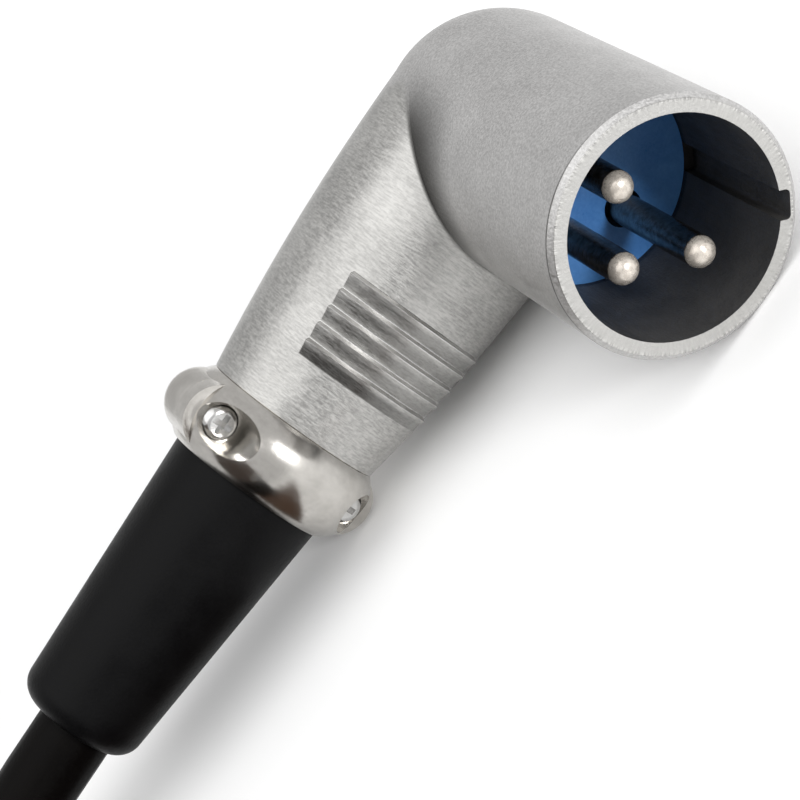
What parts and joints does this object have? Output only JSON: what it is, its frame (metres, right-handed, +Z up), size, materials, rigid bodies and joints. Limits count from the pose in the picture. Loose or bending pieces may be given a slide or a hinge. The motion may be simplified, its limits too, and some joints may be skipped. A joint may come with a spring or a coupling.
{
  "type": "right angle xlr cable",
  "caption": "Balanced audio lead with a right-angle three-pin male plug, and its cable tied in a hank with a straight three-way latching socket on the far end.",
  "frame": {"origin": "on the surface that the plug lies on, under the middle of the plug's bounding box without its cable", "axes": "+Z up; the plug's mouth opens towards -Y; the neck and its cable leave towards -X"},
  "size_m": [0.2319, 0.0769, 0.0396],
  "materials": {
    "satin_nickel": "satin nickel plate on a die-casting, finely bead-blasted",
    "polished_nickel": "bright nickel plate",
    "blue_plastic": "moulded, semi-gloss",
    "black_plastic": "moulded",
    "silvered_pin": "silver plate",
    "screw_steel": "nickel-plated steel",
    "spring_steel": "bare spring steel",
    "boot_rubber": "smooth satin rubber",
    "cable_jacket": "matt flexible jacket",
    "tie_fabric": "woven hook-and-loop strap",
    "bare_copper": "twisted bare copper",
    "red_wire": "wire insulation",
    "white_wire": "wire insulation"
  },
  "bodies": {
    "lead": {"elbow_shell": "satin_nickel", "male_insert": "blue_plastic", "insert_screw": "screw_steel", "contact_pin_1": "silvered_pin", "contact_pin_2": "silvered_pin", "contact_pin_3": "silvered_pin", "clamp_saddle": "polished_nickel", "clamp_screw_1": "screw_steel", "clamp_screw_2": "screw_steel", "boot": "boot_rubber", "shield_wire": "bare_copper", "hot_wire": "red_wire", "cold_wire": "white_wire", "cable": "cable_jacket", "cable_hank": "cable_jacket", "cable_tail": "cable_jacket", "hank_tie": "tie_fabric", "socket_shell": "satin_nickel", "socket_insert": "black_plastic", "socket_contact_1": "silvered_pin", "socket_contact_2": "silvered_pin", "socket_contact_3": "silvered_pin", "latch_pin": "screw_steel", "latch_spring": "spring_steel", "socket_saddle": "polished_nickel", "socket_clamp_screw_1": "screw_steel", "socket_clamp_screw_2": "screw_steel", "socket_boot": "boot_rubber", "socket_shield_wire": "bare_copper", "socket_hot_wire": "red_wire", "socket_cold_wire": "white_wire"},
    "latch": {"socket_latch": "polished_nickel"}
  },
  "joints": [
    {"name": "latch_press", "type": "hinge", "parent": "lead", "child": "latch", "pos_m": [-0.1001, -0.0478, 0.0364], "axis": [0, 1, 0], "range_deg": [0, 2.8], "stiffness_Nm_per_rad": 0.05, "springref_deg": -2.86, "deforming": ["latch_spring"]}
  ]
}
